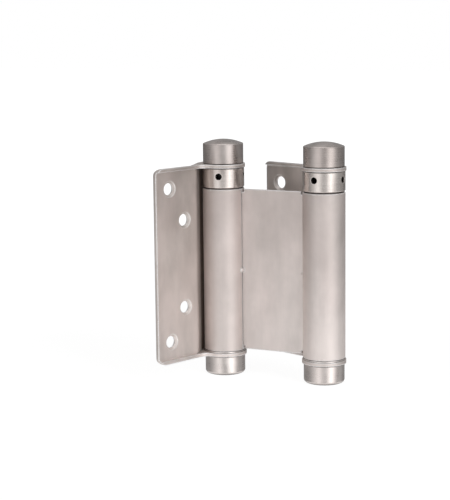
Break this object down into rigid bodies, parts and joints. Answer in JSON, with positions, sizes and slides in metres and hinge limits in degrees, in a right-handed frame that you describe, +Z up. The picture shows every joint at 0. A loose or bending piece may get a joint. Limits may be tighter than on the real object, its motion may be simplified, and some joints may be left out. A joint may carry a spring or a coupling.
{
  "type": "spring hinge",
  "caption": "Double-action spring hinge: a rolled sheet with a barrel at each side, two pressed leaves with countersunk holes, tension collars with bar holes, and domed end caps.",
  "frame": {"origin": "midway between the two barrel axes, at the level of the bottom caps' feet", "axes": "+Z up along the barrels; +X from the left barrel to the right one, along the web; the seams of the rolled sheet face -Y"},
  "size_m": [0.0648, 0.0466, 0.0919],
  "materials": {
    "rolled_sheet": "satin nickel plate, drawn upright",
    "pressed_sheet": "satin nickel plate, drawn upright",
    "cap_steel": "satin nickel plate, turned",
    "collar_steel": "satin nickel plate, turned",
    "washer_steel": "bright stamped steel",
    "turned_steel": "plain turned steel, lightly oiled",
    "spring_steel": "oil-tempered, dark",
    "bush_brass": "plain turned brass"
  },
  "bodies": {
    "centre": {"centre_body": "rolled_sheet", "left_spring_anchor": "turned_steel", "left_anchor_bush": "bush_brass", "left_torsion_spring": "spring_steel", "right_spring_anchor": "turned_steel", "right_anchor_bush": "bush_brass", "right_torsion_spring": "spring_steel"},
    "left_leaf_body": {"left_leaf": "pressed_sheet", "left_spindle": "turned_steel", "left_spindle_nut": "turned_steel", "left_top_cap": "cap_steel", "left_bottom_cap": "cap_steel", "left_barrel_washer": "washer_steel", "left_thrust_washer": "washer_steel"},
    "right_leaf_body": {"right_leaf": "pressed_sheet", "right_spindle": "turned_steel", "right_spindle_nut": "turned_steel", "right_top_cap": "cap_steel", "right_bottom_cap": "cap_steel", "right_barrel_washer": "washer_steel", "right_thrust_washer": "washer_steel"},
    "left_collar_body": {"left_tension_collar": "collar_steel", "left_collar_bush": "bush_brass"},
    "right_collar_body": {"right_tension_collar": "collar_steel", "right_collar_bush": "bush_brass"}
  },
  "joints": [
    {"name": "left_leaf_swing", "type": "hinge", "parent": "centre", "child": "left_leaf_body", "pos_m": [-0.021, 0, 0.045], "axis": [0, 0, 1], "range_deg": [-72.4, 107.6], "deforming": ["left_torsion_spring"]},
    {"name": "right_leaf_swing", "type": "hinge", "parent": "centre", "child": "right_leaf_body", "pos_m": [0.021, 0, 0.045], "axis": [0, 0, 1], "range_deg": [-159.7, 20.3], "deforming": ["right_torsion_spring"]},
    {"name": "left_collar_turn", "type": "hinge", "parent": "left_leaf_body", "child": "left_collar_body", "pos_m": [-0.021, 0, 0.077], "axis": [0, 0, 1], "range_deg": [-270, 0], "deforming": ["left_torsion_spring"]},
    {"name": "right_collar_turn", "type": "hinge", "parent": "right_leaf_body", "child": "right_collar_body", "pos_m": [0.021, 0, 0.077], "axis": [0, 0, 1], "range_deg": [-270, 0], "deforming": ["right_torsion_spring"]}
  ]
}
